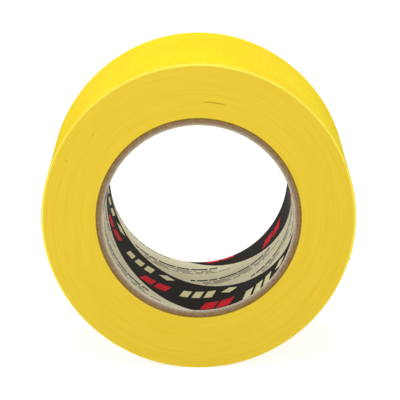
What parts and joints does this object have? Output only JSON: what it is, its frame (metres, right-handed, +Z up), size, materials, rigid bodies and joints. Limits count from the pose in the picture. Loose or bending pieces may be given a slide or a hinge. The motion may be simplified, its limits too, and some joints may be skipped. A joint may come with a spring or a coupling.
{
  "type": "masking tape roll",
  "caption": "Roll of yellow masking tape, the creped paper strip wound on a spiral-wound paperboard core with a printed liner, and its free end ready to lift.",
  "frame": {"origin": "centre of the core's bore, midway between the roll's two flat faces", "axes": "+Y along the bore from the front face to the back face, +Z up with the roll standing on its tread, +X towards the side where the free end lies"},
  "size_m": [0.1247, 0.072, 0.1247],
  "materials": {
    "tape_paper": "satin creped paper, saturated and coated, edge-on as a fine layered face",
    "liner_paper": null,
    "core_board": "matte grey-brown chipboard"
  },
  "bodies": {
    "roll": {"printed_liner": "liner_paper", "core_ply_1": "core_board", "core_ply_2": "core_board", "core_ply_3": "core_board", "core_ply_4": "core_board", "core_ply_5": "core_board", "wound_tape": "tape_paper", "outer_turn": "tape_paper"},
    "free_end_1": {"free_end_1": "tape_paper"},
    "free_end_2": {"free_end_2": "tape_paper"},
    "free_end_3": {"free_end_3": "tape_paper"},
    "free_end_4": {"free_end_4": "tape_paper"}
  },
  "joints": [
    {"name": "free_end_lift", "type": "hinge", "parent": "roll", "child": "free_end_1", "pos_m": [0.05965, 0, 0.0183], "axis": [0, -1, 0], "range_deg": [0, 35]},
    {"name": "free_end_curl_2", "type": "hinge", "parent": "free_end_1", "child": "free_end_2", "pos_m": [0.06166, 0, 0.00954], "axis": [0, -1, 0], "range_deg": [0, 35]},
    {"name": "free_end_curl_3", "type": "hinge", "parent": "free_end_2", "child": "free_end_3", "pos_m": [0.0624, 0, 0.00057], "axis": [0, -1, 0], "range_deg": [0, 35]},
    {"name": "free_end_curl_4", "type": "hinge", "parent": "free_end_3", "child": "free_end_4", "pos_m": [0.06183, 0, -0.0084], "axis": [0, -1, 0], "range_deg": [0, 35]}
  ],
  "couplings": [
    {"joint": "free_end_curl_2", "follows": "free_end_lift", "ratio": 1},
    {"joint": "free_end_curl_3", "follows": "free_end_lift", "ratio": 1},
    {"joint": "free_end_curl_4", "follows": "free_end_lift", "ratio": 1}
  ]
}
